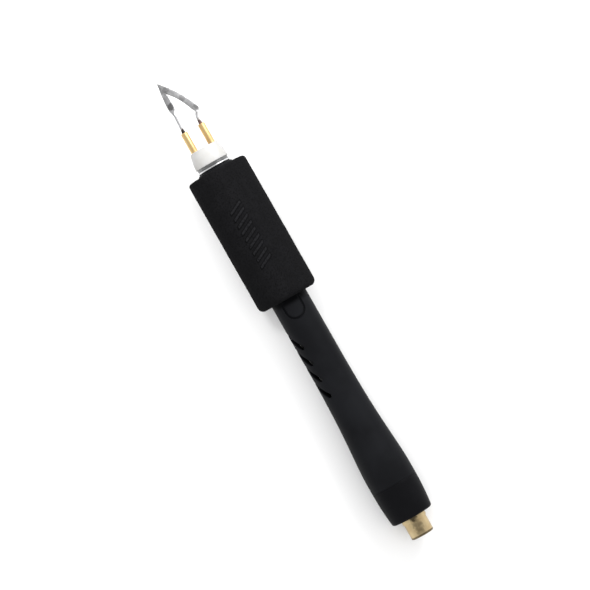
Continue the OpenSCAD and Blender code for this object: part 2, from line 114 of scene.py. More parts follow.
class HandleSettings(bpy.types.PropertyGroup):
    radius: length("Radius", "Radius of the straight part", 6.35)
    wall: length("Wall", "Thickness of the handle's wall", 1.2)
    front_bevel: length("Front bevel", "Bevel round the front end", 0.7)
    flare_land: length("Flare land", "Length of the widest part", 4.6)
    flare_length: length("Flare length", "Length over which the flare runs out", 40)
    parting_bevel: length("Parting bevel", "Bevel on each side of the parting line", 0.15)
    slot_count: count("Slots", "Number of vent slots", 4, 1, 8)
    slot_pitch: length("Slot pitch", "Distance between two slots", 6)
    slot_first: length("First slot", "Distance from the grip to the first slot", 12.8)
    slot_length: length("Slot length", "Length of a slot over its round ends", 11)
    slot_width: length("Slot width", "Width of a slot", 1.6)
    slot_lip: length("Slot lip", "Bevel round the mouth of a slot", 0.1)
    slot_slant: angle("Slot slant", "Lean of the slots from the pen's axis", 40)
    slot_bearing: angle("Slot bearing", "Angle from the top down to the row of slots", 71)
    tongue_width: length("Tongue width", "Width over the groove round the tongue", 7)
    tongue_length: length("Tongue length", "How far the tongue shows behind the grip", 7.4)
    groove_width: length("Groove width", "Width of the groove", 0.7)
    groove_depth: length("Groove depth", "Depth of the groove", 0.45)
    plastic: colour("Plastic", "Colour of the handle", (0.0072, 0.0076, 0.0090))
    cap_plastic: colour("Cap plastic", "Colour of the cap, a shade darker", (0.0044, 0.0045, 0.0055))


class GripSettings(bpy.types.PropertyGroup):
    clearance: length("Clearance", "Gap between the grip and the handle", 0.06)
    front_round: length("Front round", "Rounding of the front shoulder", 1.2)
    rear_round: length("Rear round", "Rounding of the rear shoulder", 2)
    mouth: length("Mouth", "Bevel at each end of the bore", 0.5)
    unevenness: length("Unevenness", "How far the foam's surface wanders", 0.05)
    rib_count: count("Ribs", "Number of slanted ribs on the top", 9, 0, 20)
    rib_pitch: length("Rib pitch", "Distance between two ribs", 2.5)
    rib_width: length("Rib width", "Width of a rib", 1.15)
    rib_height: length("Rib height", "Length of a rib across the grip", 5)
    rib_aside: length("Rib offset", "How far the ribs lie to the left of the top", 0.5)
    rib_rise: length("Rib rise", "How far the ribs stand out", 0.3)
    foam: colour("Foam", "Colour of the foam", (0.0074, 0.0074, 0.0081))


class TipSettings(bpy.types.PropertyGroup):
    base_top_radius: length("Base top radius", "Radius of the base's front face", 4.95)
    base_round: length("Base round", "Rounding of the base's front edge", 0.35)
    post_round: length("Post round", "Rounding of a post's front edge", 0.4)
    socket_radius: length("Socket radius", "Radius of the hole for the wire", 0.48)
    socket_depth: length("Socket depth", "Depth of the hole for the wire", 6)
    wire_radius: length("Wire radius", "Radius of the blade's wire", 0.45)
    collar_height: length("Collar height", "Height of the solder round a leg", 1.5)
    hammering: length("Hammering", "Depth of the hammer marks on the blade", 0.05)
    bare_wire: colour("Bare wire", "Colour of the blade's legs", (0.80, 0.80, 0.81))
    hammered: colour("Hammered", "Colour of the hammered blade", (0.68, 0.68, 0.69))
    burnt_scale: colour("Scale", "Colour of the burnt scale", (0.035, 0.033, 0.032))
    brass: colour("Brass", "Colour of the posts", (0.80, 0.58, 0.28))
    base: colour("Base", "Colour of the white base", (0.50, 0.50, 0.50))
    steel: colour("Steel", "Colour of the ferrule", (0.78, 0.79, 0.80))
    solder: colour("Solder", "Colour of the scorched solder", (0.035, 0.025, 0.022))


class JackSettings(bpy.types.PropertyGroup):
    cap_end_radius: length("Cap end radius", "Radius of the cap's rear face", 7.25)
    cap_round: length("Cap round", "Rounding of the cap's rear edge", 0.8)
    cap_floor: length("Cap floor", "Thickness of the cap's rear wall", 2.6)
    spigot_radius: length("Spigot radius", "Radius of the spigot in the handle", 6.82)
    cavity_radius: length("Cavity radius", "Radius of the hollow in the cap", 5.62)
    bushing_radius: length("Bushing radius", "Radius of the threaded bushing", 3.175)
    bushing_wall: length("Bushing wall", "Wall of the bushing", 0.65)
    barrel_radius: length("Barrel radius", "Radius of the barrel", 4)
    barrel_wall: length("Barrel wall", "Wall of the barrel", 0.7)
    barrel_length: length("Barrel length", "Length of the barrel behind its flange", 5.6)
    rim_round: length("Rim round", "Rounding of the barrel's rim", 0.6)
    spanner_width: length("Spanner width", "Width of the notches in the flange", 1.2)
    socket_radius: length("Socket radius", "Radius of the centre contact's bore", 1.65)
    contact_wall: length("Contact wall", "Wall of the centre contact", 0.27)
    socket_depth: length("Socket depth", "Depth of the centre contact's bore", 8.5)
    slit_width: length("Slit width", "Width of the slits in the contact", 0.3)
    plating: colour("Plating", "Colour of the gold plating", (0.68, 0.54, 0.31))


class StageSettings(bpy.types.PropertyGroup):
    lean: angle("Lean", "Angle of the pen from the view's upright", 29.6)
    view_width: length("View width", "Width of the view at the pen's axis", 194.1)
    shift_right: length("Shift right", "How far the view's middle lies right of the pen's", 0.36)
    shift_up: length("Shift up", "How far the view's middle lies above the pen's", 4.01)
    camera_height: length("Camera height", "Height of the camera above the pen", 1200)
    floor: colour("Floor", "Colour of the floor", (0.90, 0.90, 0.90))


# ---------- shader building ----------


class Nodes:
    """Adds nodes to one shader tree; each input takes a plain value or another node's socket."""

    def __init__(self, tree):
        self.tree = tree

    def feed(self, source, socket):
        if isinstance(source, bpy.types.NodeSocket):
            self.tree.links.new(source, socket)
        elif socket.type == "RGBA":
            socket.default_value = (*source, 1.0)
        else:
            socket.default_value = source

    def add(self, kind, inputs, **settings):
        """Adds a node; inputs go by their name or by their number."""
        node = self.tree.nodes.new(kind)
        for name, value in settings.items():
            setattr(node, name, value)
        for name, source in inputs.items():
            self.feed(source, node.inputs[name])
        return node.outputs

    def combine(self, operation, first, second, clamp=False):
        return self.add("ShaderNodeMath", {0: first, 1: second}, operation=operation, use_clamp=clamp)[0]

    def plus(self, first, second):
        return self.combine("ADD", first, second)

    def minus(self, first, second):
        return self.combine("SUBTRACT", first, second)

    def times(self, first, second, clamp=False):
        return self.combine("MULTIPLY", first, second, clamp)

    def larger(self, first, second):
        return self.combine("MAXIMUM", first, second)

    def ramp(self, value, low, high, to_low=0.0, to_high=1.0):
        """A value eased from one range to another."""
        inputs = {"Value": value, "From Min": low, "From Max": high, "To Min": to_low, "To Max": to_high}
        return self.add("ShaderNodeMapRange", inputs, interpolation_type="SMOOTHSTEP")["Result"]

    def blend(self, mask, first, second):
        """A colour from first to second as the mask goes from 0 to 1; its sockets have only numbers."""
        return self.add("ShaderNodeMix", {0: mask, 6: first, 7: second}, data_type="RGBA")[2]

    def place(self, squeeze=None):
        """The point in the pen's own frame, squeezed so that a pattern runs along one axis."""
        point = self.add("ShaderNodeTexCoord", {})["Object"]
        if squeeze is None:
            return point
        return self.add("ShaderNodeMapping", {"Vector": point, "Scale": squeeze})["Vector"]

    def axis(self, name):
        return self.add("ShaderNodeSeparateXYZ", {"Vector": self.place()})[name]

    def attribute(self, name):
        return self.add("ShaderNodeAttribute", {}, attribute_name=name)["Fac"]

    def noise(self, scale, detail=4.0, roughness=0.55, squeeze=None):
        inputs = {"Vector": self.place(squeeze), "Scale": scale, "Detail": detail, "Roughness": roughness}
        return self.add("ShaderNodeTexNoise", inputs)[0]

    def group(self, name, **values):
        """Places a shared group, which is built the first time, with its own values."""
        tree = bpy.data.node_groups.get(name) or new_group(name)
        return self.add("ShaderNodeGroup", values, node_tree=tree)


def fill_mottle(nodes, given, made):
    """Slow unevenness between a low and a high value, as handling and moulding leave it."""
    mask = nodes.ramp(nodes.noise(given["Scale"]), 0.32, 0.68)
    spread = nodes.minus(given["High"], given["Low"])
    nodes.feed(nodes.plus(given["Low"], nodes.times(mask, spread)), made["Value"])
    nodes.feed(mask, made["Mask"])


def fill_rubs(nodes, given, made):
    """Fine rub marks, longer along the pen than across it, as a height and a mask of the deepest."""
    along = nodes.noise(given["Scale"], 3.0, 0.7, (0.12, 1.0, 1.0))
    across = nodes.noise(given["Scale"], 2.0, 0.7, (1.0, 0.2, 0.2))
    edge = nodes.minus(0.75, nodes.times(given["Cover"], 0.35))
    nodes.feed(nodes.times(nodes.plus(along, across), 0.5), made["Height"])
    nodes.feed(nodes.times(nodes.minus(along, edge), 9.0, clamp=True), made["Mask"])


def fill_patch(nodes, given, made):
    """A ragged patch round a point: 1 at the point and 0 past its radius."""
    points = {0: nodes.place(), 1: given["Centre"]}
    reach = nodes.add("ShaderNodeVectorMath", points, operation="DISTANCE")["Value"]
    share = nodes.combine("DIVIDE", reach, given["Radius"])
    ragged = nodes.times(nodes.minus(nodes.noise(1100.0), 0.5), given["Raggedness"])
    nodes.feed(nodes.ramp(nodes.plus(share, ragged), 1.0, 0.35), made["Mask"])


SHARED_GROUPS = {
    "Surface Mottle": (fill_mottle, {"Scale": 120.0, "Low": 0.3, "High": 0.5}, ("Value", "Mask")),
    "Rub Marks": (fill_rubs, {"Scale": 900.0, "Cover": 0.3}, ("Height", "Mask")),
    "Ragged Patch": (
        fill_patch, {"Centre": (0.0, 0.0, 0.0), "Radius": 0.002, "Raggedness": 0.5}, ("Mask",),
    ),
}


def new_group(name):
    fill, inputs, outputs = SHARED_GROUPS[name]
    group = bpy.data.node_groups.new(name, "ShaderNodeTree")
    for socket_name, default in inputs.items():
        kind = "NodeSocketFloat" if isinstance(default, float) else "NodeSocketVector"
        socket = group.interface.new_socket(socket_name, in_out="INPUT", socket_type=kind)
        socket.default_value = default
    for socket_name in outputs:
        group.interface.new_socket(socket_name, in_out="OUTPUT", socket_type="NodeSocketFloat")
    given, made = group.nodes.new("NodeGroupInput").outputs, group.nodes.new("NodeGroupOutput").inputs
    fill(Nodes(group), given, made)
    return group


class Finish(Nodes):
    """A material in the making: a Principled shader and the nodes that feed it."""

    def __init__(self, name, metallic=0.0, specular=0.5):
        self.material = bpy.data.materials.new(name)
        self.material.use_nodes = True
        super().__init__(self.material.node_tree)
        self.sockets = self.tree.nodes["Principled BSDF"].inputs
        self.sockets["Metallic"].default_value = metallic
        self.sockets["Specular IOR Level"].default_value = specular

    def made(self, tint, roughness, height, depth, strength=1.0):
        """Feeds the shader, with a height for its normals; depth is in metres."""
        self.feed(tint, self.sockets["Base Color"])
        self.feed(roughness, self.sockets["Roughness"])
        relief = {"Strength": strength, "Distance": depth, "Height": height}
        self.feed(self.add("ShaderNodeBump", relief)["Normal"], self.sockets["Normal"])
        return self.material


def shade(tint, factor):
    return tuple(min(1.0, part * factor) for part in tint)


# ---------- finishes ----------


def moulded_plastic(name, tint):
    """Satin black plastic, with a faint grain, rubbed a little; painted shade turns its slots, groove and
    bore, and a band behind the grip, black with no gloss.
    """
    finish = Finish(name, specular=0.06)
    mottle = finish.group("Surface Mottle", Scale=70.0, Low=0.44, High=0.54)
    rubs = finish.group("Rub Marks", Scale=700.0, Cover=0.25)
    # Painted shade: where this attribute is high the plastic turns black and metallic, giving back no
    # light, as if in deep shade
    painted_shade = finish.attribute("painted_shade")
    finish.feed(painted_shade, finish.sockets["Metallic"])
    skin = finish.blend(mottle["Mask"], shade(tint, 0.8), shade(tint, 1.2))
    rubbed = finish.plus(mottle["Value"], finish.times(rubs["Mask"], 0.08))
    grain = finish.noise(3200.0, detail=2.0)
    return finish.made(
        finish.blend(painted_shade, skin, shade(tint, 0.1)), finish.larger(rubbed, finish.times(painted_shade, 0.95)),
        finish.plus(finish.times(rubs["Height"], 0.35), grain), 0.006 * MM,
    )


def grip_foam(tint):
    """Matte closed-cell foam: fine pits under a thin skin; the rib tops are painted lighter, partly as wear
    and partly as painted highlight, and the rib sides get painted shade.
    """
    finish = Finish("Grip Foam", specular=0.04)
    inputs = {"Vector": finish.place(), "Scale": 2100.0, "Randomness": 1.0}
    cells = finish.add("ShaderNodeTexVoronoi", inputs, feature="SMOOTH_F1")["Distance"]
    pits = finish.ramp(cells, 0.05, 0.55)
    mottle = finish.group("Surface Mottle", Scale=260.0, Low=0.82, High=0.97)
    raised = finish.attribute("raised")
    # painted shade on the rib sides, where a rib's edge slopes and its own shadow would fall
    side = finish.times(raised, finish.minus(1.0, raised))
    tone_shade_and_highlight = finish.blend(mottle["Mask"], shade(tint, 0.88), shade(tint, 1.15))
    tone_shade_and_highlight = finish.blend(finish.times(side, 3.6, clamp=True), tone_shade_and_highlight, shade(tint, 0.1))
    # rib tops painted lighter: partly wear, partly a painted highlight
    tone_shade_and_highlight = finish.blend(finish.ramp(raised, 0.6, 1.0), tone_shade_and_highlight, shade(tint, 1.8))
    skin = finish.noise(520.0, 6.0, 0.7)
    return finish.made(
        finish.blend(pits, shade(tint, 0.55), tone_shade_and_highlight), mottle["Value"],
        finish.plus(finish.times(pits, 0.45), skin), 0.09 * MM, 0.8,
    )


def white_insulator(tint):
    """Heat-proof white plastic that light enters a little way, with fine turning marks."""
    finish = Finish("White Insulator", specular=0.45)
    finish.sockets["Subsurface Weight"].default_value = 0.25
    finish.sockets["Subsurface Radius"].default_value = (1.0, 1.0, 1.0)
    finish.sockets["Subsurface Scale"].default_value = 0.6 * MM
    mottle = finish.group("Surface Mottle", Scale=240.0, Low=0.30, High=0.48)
    warm = (tint[0] * 0.97, tint[1] * 0.95, tint[2] * 0.90)
    turning = finish.noise(2600.0, detail=2.0, squeeze=(1.0, 0.05, 0.05))
    return finish.made(finish.blend(mottle["Mask"], tint, warm), mottle["Value"], turning, 0.008 * MM)


def bright_metal(name, tint, roughness, tarnish, scale=420.0, bands=(), shade_patches=()):
    """A plated or drawn metal with smears, fine rub marks and a little tarnish.

    Its colour is painted darker past each band, (from x, to x, depth), and at each shade patch, (centre,
    radius, depth), which is painted shade.
    """
    finish = Finish(name, metallic=1.0)
    mottle = finish.group("Surface Mottle", Scale=scale, Low=roughness * 0.85, High=roughness * 1.25)
    rubs = finish.group("Rub Marks", Scale=1100.0, Cover=0.3)
    dull = finish.times(mottle["Mask"], tarnish, clamp=True)
    clean = finish.blend(dull, tint, (tint[0] * 0.62, tint[1] * 0.5, tint[2] * 0.4))
    along = finish.axis("X")
    darkening = [finish.ramp(along, start, end, 0.0, depth) for start, end, depth in bands]
    for centre, radius, depth in shade_patches:
        patch = finish.group("Ragged Patch", Centre=centre, Radius=radius, Raggedness=0.9)["Mask"]
        darkening.append(finish.times(patch, depth))
    # Each band and shade patch paints the colour darker; the ferrule's neck band and the jack's shade
    # patches are painted shade
    for dark_share in darkening:
        clean = finish.blend(dark_share, clean, shade(tint, 0.08))
    worn = finish.plus(mottle["Value"], finish.times(rubs["Mask"], 0.08))
    return finish.made(clean, worn, rubs["Height"], 0.003 * MM)


def burnt_blade(tip, patches, scorched, flattened):
    """Hammered resistance wire: pale where bare, grey where scale has built up, brown by the solder."""
    finish = Finish("Burnt Blade", metallic=1.0)
    mottle = finish.group("Surface Mottle", Scale=800.0, Low=0.3, High=0.46)
    scale = finish.group("Surface Mottle", Scale=330.0, Low=0.0, High=0.22)["Value"]
    for centre, radius, depth in patches:
        patch = finish.group("Ragged Patch", Centre=centre, Radius=radius, Raggedness=1.3)["Mask"]
        scale = finish.larger(scale, finish.times(patch, depth))
    along = finish.axis("X")
    bare = finish.blend(finish.ramp(along, *scorched, 0.8, 0.0), tip.bare_wire, (0.30, 0.23, 0.19))
    bare = finish.blend(finish.ramp(along, *flattened), bare, tip.hammered)
    smeared = finish.blend(mottle["Mask"], bare, shade(tip.hammered, 0.75))
    rough = finish.plus(mottle["Value"], finish.times(scale, 0.25))
    dents = finish.noise(1300.0, detail=3.0)
    return finish.made(finish.blend(scale, smeared, tip.burnt_scale), rough, dents, 0.03 * MM, 0.5)


def scorched_solder(tint):
    """Solder, darker on the left leg and browner on the right."""
    finish = Finish("Scorched Solder", metallic=0.6)
    mottle = finish.group("Surface Mottle", Scale=1400.0, Low=0.32, High=0.6)
    leftward = finish.ramp(finish.axis("Y"), -1 * MM, 1 * MM)
    browned = finish.blend(mottle["Mask"], shade(tint, 1.6), (0.16, 0.09, 0.08))
    tinted = finish.blend(leftward, browned, shade(tint, 0.7))
    return finish.made(tinted, mottle["Value"], finish.noise(2400.0), 0.04 * MM)


def soft_plastic(name, tint, roughness):
    """Wire covering, heat-shrink and moulded insulators: smooth, with slow unevenness."""
    finish = Finish(name, specular=0.4)
    mottle = finish.group("Surface Mottle", Scale=330.0, Low=roughness * 0.85, High=roughness * 1.2)
    tinted = finish.blend(mottle["Mask"], shade(tint, 0.8), shade(tint, 1.15))
    return finish.made(tinted, mottle["Value"], finish.noise(1300.0), 0.015 * MM)


# ---------- shaping ----------


def spun(outline, segments, closed=True):
    """Turns an outline of (x, radius) points once round the pen's axis.

    It starts half a step from the top, so that no later cut runs along a row of points.
    """
    bm = bmesh.new()
    half_step = Matrix.Rotation(math.pi / segments, 3, "X")
    points = [bm.verts.new(half_step @ Vector((x, 0.0, radius))) for x, radius in outline]
    joints = range(len(points)) if closed else range(1, len(points))
    edges = [bm.edges.new((points[i - 1], points[i])) for i in joints]
    bmesh.ops.spin(
        bm, geom=points + edges, cent=(0, 0, 0), axis=(1, 0, 0), dvec=(0, 0, 0),
        angle=2 * math.pi, steps=segments, use_merge=True, use_normal_flip=False, use_duplicate=False,
    )
    bmesh.ops.remove_doubles(bm, verts=bm.verts, dist=SEAM)
    bmesh.ops.dissolve_degenerate(bm, dist=SEAM, edges=bm.edges)
    bmesh.ops.recalc_face_normals(bm, faces=bm.faces)
    return bm


def spread(start, end, steps):
    """Evenly spaced values from start to end, both included."""
    return [start + (end - start) * i / steps for i in range(steps + 1)]


def eased(value, low, high):
    share = min(1.0, max(0.0, (value - low) / (high - low)))
    return share * share * (3 - 2 * share)


def on_ring(vert, x, radius):
    return abs(vert.co.x - x) < SEAM and abs(vert.co.yz.length - radius) < SEAM * 2


def soften(bm, *rings):
    """Rounds the ring edges of a spun shape; each ring is (x, radius, reach of the round, segments)."""
    for x, radius, reach, segments in rings:
        edges = [edge for edge in bm.edges if all(on_ring(vert, x, radius) for vert in edge.verts)]
        bmesh.ops.bevel(
            bm, geom=edges, offset=reach, affect="EDGES", segments=segments, profile=0.5, material=-1
        )


def loose_object(name, bm):
    mesh = bpy.data.meshes.new(name)
    bm.to_mesh(mesh)
    bm.free()
    made = bpy.data.objects.new(name, mesh)
    bpy.context.scene.collection.objects.link(made)
    return made


def carved(bm, cutters):
    """A solid with each cutter's solid taken away."""
    solid = loose_object("solid", bm)
    tools = [loose_object("cutter", cutter) for cutter in cutters]
    for tool in tools:
        cut = solid.modifiers.new("Cut", "BOOLEAN")
        cut.operation = "DIFFERENCE"
        cut.solver = "EXACT"
        cut.object = tool
    bpy.context.view_layer.update()
    result = bmesh.new()
    result.from_object(solid, bpy.context.evaluated_depsgraph_get())
    for spent in [solid, *tools]:
        mesh = spent.data
        bpy.data.objects.remove(spent)
        bpy.data.meshes.remove(mesh)
    return result


def finished_piece(name, bm, material, node, body="pen"):
    """Makes a shaped solid into a piece that rides on a body and stands for a node of the frame."""
    piece = loose_object(name, bm)
    piece.data.shade_smooth()
    piece.data.set_sharp_from_angle(angle=SHARP)
    piece.data.materials.append(material)
    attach(piece, body)
    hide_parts(node)
    return piece


def arc(centre_x, centre_radius, size, start, end, steps=8):
    """Points of an arc in an outline; angles are in degrees from the pen's rear end to its side."""
    angles = [math.radians(degrees) for degrees in spread(start, end, steps)]
    return [(centre_x - size * math.cos(a), centre_radius + size * math.sin(a)) for a in angles]


def block(size, centre):
    bm = bmesh.new()
    bmesh.ops.create_cube(bm, size=1.0)
    bmesh.ops.scale(bm, vec=size, verts=bm.verts)
    bmesh.ops.translate(bm, vec=centre, verts=bm.verts)
    return bm


def ring_edges(verts):
    found = set(verts)
    return list({edge for vert in verts for edge in vert.link_edges if all(v in found for v in edge.verts)})


def wrap_round(bm, x, bearing, radius, slant=0.0):
    """Lays a flat shape on the handle: its x runs along the pen, its y round it, and its z outwards."""
    turn = Matrix.Rotation(slant, 3, "Z")
    for vert in bm.verts:
        along, across, out = turn @ vert.co
        angle = bearing + math.asin(across / radius)
        reach = radius + out
        vert.co = (x + along, reach * math.sin(angle), reach * math.cos(angle))


ROUND_END_STEPS = 28  # points of a slot's end circles, and steps round the end of the tongue


def slot_cutter(run, radius, levels):
    """A solid with two straight sides and round ends; each level is (height, extra radius there)."""
    bm = bmesh.new()
    half_step = Matrix.Rotation(math.pi / ROUND_END_STEPS, 4, "Z")
    rings = []
    for height, spread in levels:
        ring = bmesh.ops.create_circle(
            bm, cap_ends=False, radius=radius + spread, segments=ROUND_END_STEPS,
            matrix=Matrix.Translation((0, 0, height)) @ half_step,
        )["verts"]
        for vert in ring:
            vert.co.x += math.copysign(run / 2, vert.co.x)
        rings.append(ring_edges(ring))
    for lower, upper in zip(rings, rings[1:]):
        bmesh.ops.bridge_loops(bm, edges=lower + upper)
    for end in (rings[0], rings[-1]):
        bmesh.ops.contextual_create(bm, geom=end)
    long_edges = [edge for edge in bm.edges if edge.calc_length() > run / 2]
    bmesh.ops.subdivide_edges(bm, edges=long_edges, cuts=12)
    bmesh.ops.triangulate(bm, faces=bm.faces)
    bmesh.ops.recalc_face_normals(bm, faces=bm.faces)
    return bm


def extruded(bm, edges):
    """Grows faces from edges, and gives back the new points."""
    grown = bmesh.ops.extrude_edge_only(bm, edges=edges)["geom"]
    return [part for part in grown if isinstance(part, bmesh.types.BMVert)]


def swept_groove(section, half_width, run):
    """A groove's section taken along one arm, round a half turn and back along the other arm."""
    bm = bmesh.new()
    verts = [bm.verts.new((run, half_width + across, out)) for across, out in section]
    edges = [bm.edges.new((verts[i - 1], verts[i])) for i in range(len(verts))]
    bm.faces.new(verts)
    turned = extruded(bm, edges)
    bmesh.ops.translate(bm, verts=turned, vec=(-run, 0, 0))
    last = bmesh.ops.spin(
        bm, geom=turned + ring_edges(turned), cent=(0, 0, 0), axis=(0, 0, 1), dvec=(0, 0, 0),
        angle=math.pi, steps=ROUND_END_STEPS, use_merge=False, use_normal_flip=False, use_duplicate=False,
    )["geom_last"]
    ends = extruded(bm, [part for part in last if isinstance(part, bmesh.types.BMEdge)])
    bmesh.ops.translate(bm, verts=ends, vec=(run, 0, 0))
    bmesh.ops.contextual_create(bm, geom=ring_edges(ends))
    bmesh.ops.remove_doubles(bm, verts=bm.verts, dist=SEAM)
    bmesh.ops.recalc_face_normals(bm, faces=bm.faces)
    return bm


# ---------- handle ----------

FLARE_RATE, FLARE_POWER = 2.24, 1.6
RECESS_SHADE_DEPTHS = (0.2 * MM, 0.9 * MM)  # depths where painted shade in a slot or groove starts, and where it is painted black

# A painted shadow on the handle behind the grip's rear end: it comes in over the first three places and
# goes out over the last two
GRIP_SHADOW_PLACES = [place * MM for place in (-2.4, -1.8, -1.2, 0.5, 1.5)]
GRIP_SHADOW_DEPTH = 0.6


def decay(share):
    return math.exp(-((FLARE_RATE * share) ** FLARE_POWER))


def flare_radius(handle, x):
    """The flare drops away from its land and runs out into the straight handle in a long tail."""
    start = HANDLE_REAR + handle.flare_land
    share = min(1.0, max(0.0, (x - start) / handle.flare_length))
    left = (decay(share) - decay(1.0)) / (1.0 - decay(1.0))
    return handle.radius + (FLARE_RADIUS - handle.radius) * left


class BURNINGPEN_OT_handle(bpy.types.Operator):
    """Build the moulded handle with its flare, its vent slots and the tongue behind the grip"""

    bl_idname = "burningpen.handle"
    bl_label = "Handle"

    def execute(self, context):
        handle = context.scene.burning_pen_handle
        bore = handle.radius - handle.wall
        flare_start = HANDLE_REAR + handle.flare_land
        flare_end = flare_start + handle.flare_length
        seat_end = CAP_FRONT + FIT
        seat_radius = context.scene.burning_pen_jack.spigot_radius + FIT
        curve = spread(flare_start, flare_end, 48)
        straight = spread(flare_end, HANDLE_FRONT, 12)[1:-1]
        # extra rings where the painted shadow behind the grip fades in and out
        straight += [GRIP_REAR + place for place in GRIP_SHADOW_PLACES]
        outline = [(HANDLE_REAR, seat_radius), (HANDLE_REAR, FLARE_RADIUS)]
        outline += [(x, flare_radius(handle, x)) for x in curve]
        outline += [(x, handle.radius) for x in sorted(straight)]
        outline += [(HANDLE_FRONT, handle.radius), (HANDLE_FRONT, bore)]
        inside = [x for x in reversed(curve[::4]) if x > seat_end]
        outline += [(x, flare_radius(handle, x) - handle.wall) for x in inside]
        outline += [(seat_end, flare_radius(handle, seat_end) - handle.wall), (seat_end, seat_radius)]
        bm = spun(outline, 160)
        soften(
            bm, (HANDLE_REAR, FLARE_RADIUS, handle.parting_bevel, 3),
            (HANDLE_FRONT, handle.radius, handle.front_bevel, 3), (HANDLE_FRONT, bore, 0.1 * MM, 3),
        )
        bm = carved(bm, [*self.slot_cutters(handle), self.tongue_cutter(handle)])
        # Painted shade: points deep in a slot, the groove or the bore, and a band behind the grip's rear
        # end, are marked to be painted black
        painted_shade = bm.verts.layers.float.new("painted_shade")
        for vert in bm.verts:
            depth = flare_radius(handle, vert.co.x) - vert.co.yz.length
            ahead = vert.co.x - GRIP_REAR
            # painted shadow of the grip's rear end falling on the handle
            darkening = eased(ahead, *GRIP_SHADOW_PLACES[:3:2]) - eased(ahead, *GRIP_SHADOW_PLACES[3:])
            vert[painted_shade] = max(eased(depth, *RECESS_SHADE_DEPTHS), GRIP_SHADOW_DEPTH * darkening)
        material = moulded_plastic("Handle Plastic", handle.plastic)
        finished_piece("handle_moulding", bm, material, "handle")
        return {"FINISHED"}

    def slot_cutters(self, handle):
        """One cutter for each slot, from well inside the wall to well outside it."""
        lip, lowest, highest = handle.slot_lip, -handle.wall - 1.2 * MM, 2.2 * MM
        levels = [(lowest, 0), (-lip, 0), (3 * lip, 4 * lip), (highest, 4 * lip)]
        run = handle.slot_length - handle.slot_width
        cutters = []
        for i in range(handle.slot_count):
            x = GRIP_REAR - handle.slot_first - i * handle.slot_pitch
            cutter = slot_cutter(run, handle.slot_width / 2, levels)
            wrap_round(cutter, x, handle.slot_bearing, flare_radius(handle, x), handle.slot_slant)
            cutters.append(cutter)
        return cutters

    def tongue_cutter(self, handle):
        half, depth = handle.groove_width / 2, handle.groove_depth
        lip, above = 0.08 * MM, 1 * MM
        mouth = half + 3 * lip
        section = [
            (-half + lip, -depth), (half - lip, -depth), (half, -depth + lip), (half, -lip),
            (mouth, 2 * lip), (mouth, above), (-mouth, above),
            (-mouth, 2 * lip), (-half, -lip), (-half, -depth + lip),
        ]
        round_centre = GRIP_REAR - handle.tongue_length + handle.tongue_width / 2
        cutter = swept_groove(section, handle.tongue_width / 2 - half, handle.tongue_length)
        wrap_round(cutter, round_centre, 0.0, handle.radius)
        return cutter


# ---------- grip ----------


class BURNINGPEN_OT_grip(bpy.types.Operator):
    """Build the foam grip, with a soft uneven skin and a run of slanted ribs on its top"""

    bl_idname = "burningpen.grip"
    bl_label = "Foam Grip"

    def execute(self, context):
        grip = context.scene.burning_pen_grip
        bore = context.scene.burning_pen_handle.radius + grip.clearance
        rear, front = grip.rear_round, grip.front_round
        side = spread(GRIP_REAR + rear, GRIP_FRONT - front, 200)[1:-1]
        outline = [(GRIP_REAR + grip.mouth, bore), (GRIP_REAR, bore + grip.mouth)]
        outline += arc(GRIP_REAR + rear, GRIP_RADIUS - rear, rear, 0, 90, 12)
        outline += [(x, GRIP_RADIUS) for x in side]
        outline += arc(GRIP_FRONT - front, GRIP_RADIUS - front, front, 90, 180, 8)
        outline += [(GRIP_FRONT, bore + grip.mouth), (GRIP_FRONT - grip.mouth, bore)]
        bm = spun(outline, 320)
        self.raise_surface(bm, grip)
        material = grip_foam(grip.foam)
        piece = finished_piece("grip_sleeve", bm, material, "foam_grip", "grip")
        return {"FINISHED"}

    def raise_surface(self, bm, grip):
        """Moves each point of the skin in or out by the foam's unevenness and by the ribs."""
        middle = (GRIP_REAR + GRIP_FRONT) / 2
        broad, fine = 9 * MM, 2.5 * MM
        raised = bm.verts.layers.float.new("raised")
        for vert in bm.verts:
            radius = vert.co.yz.length
            if radius < GRIP_RADIUS - grip.rear_round:
                continue
            arc_place = math.atan2(vert.co.y, vert.co.z) * radius
            lump = noise.noise(vert.co / broad) * 0.7 + noise.noise(vert.co / fine) * 0.3
            vert[raised] = self.rib(grip, vert.co.x - middle, arc_place - grip.rib_aside)
            shift = grip.unevenness * (lump - 0.5) + grip.rib_rise * vert[raised]
            vert.co.yz *= (radius + shift) / radius

    def rib(self, grip, along, across):
        """1 on a rib and 0 off it, with soft sides."""
        lean = 0.5
        half_run = grip.rib_count * grip.rib_pitch / 2
        slanted = along + lean * across + half_run
        if not 0 <= slanted < 2 * half_run:
            return 0.0
        off_middle = abs(slanted % grip.rib_pitch - grip.rib_pitch / 2)
        soft = 0.2 * MM
        width = 1 - eased(off_middle, grip.rib_width / 2 - soft, grip.rib_width / 2 + soft)
        height = 1 - eased(abs(across), grip.rib_height / 2 - soft, grip.rib_height / 2 + soft)
        return width * height


# ---------- rear cap ----------


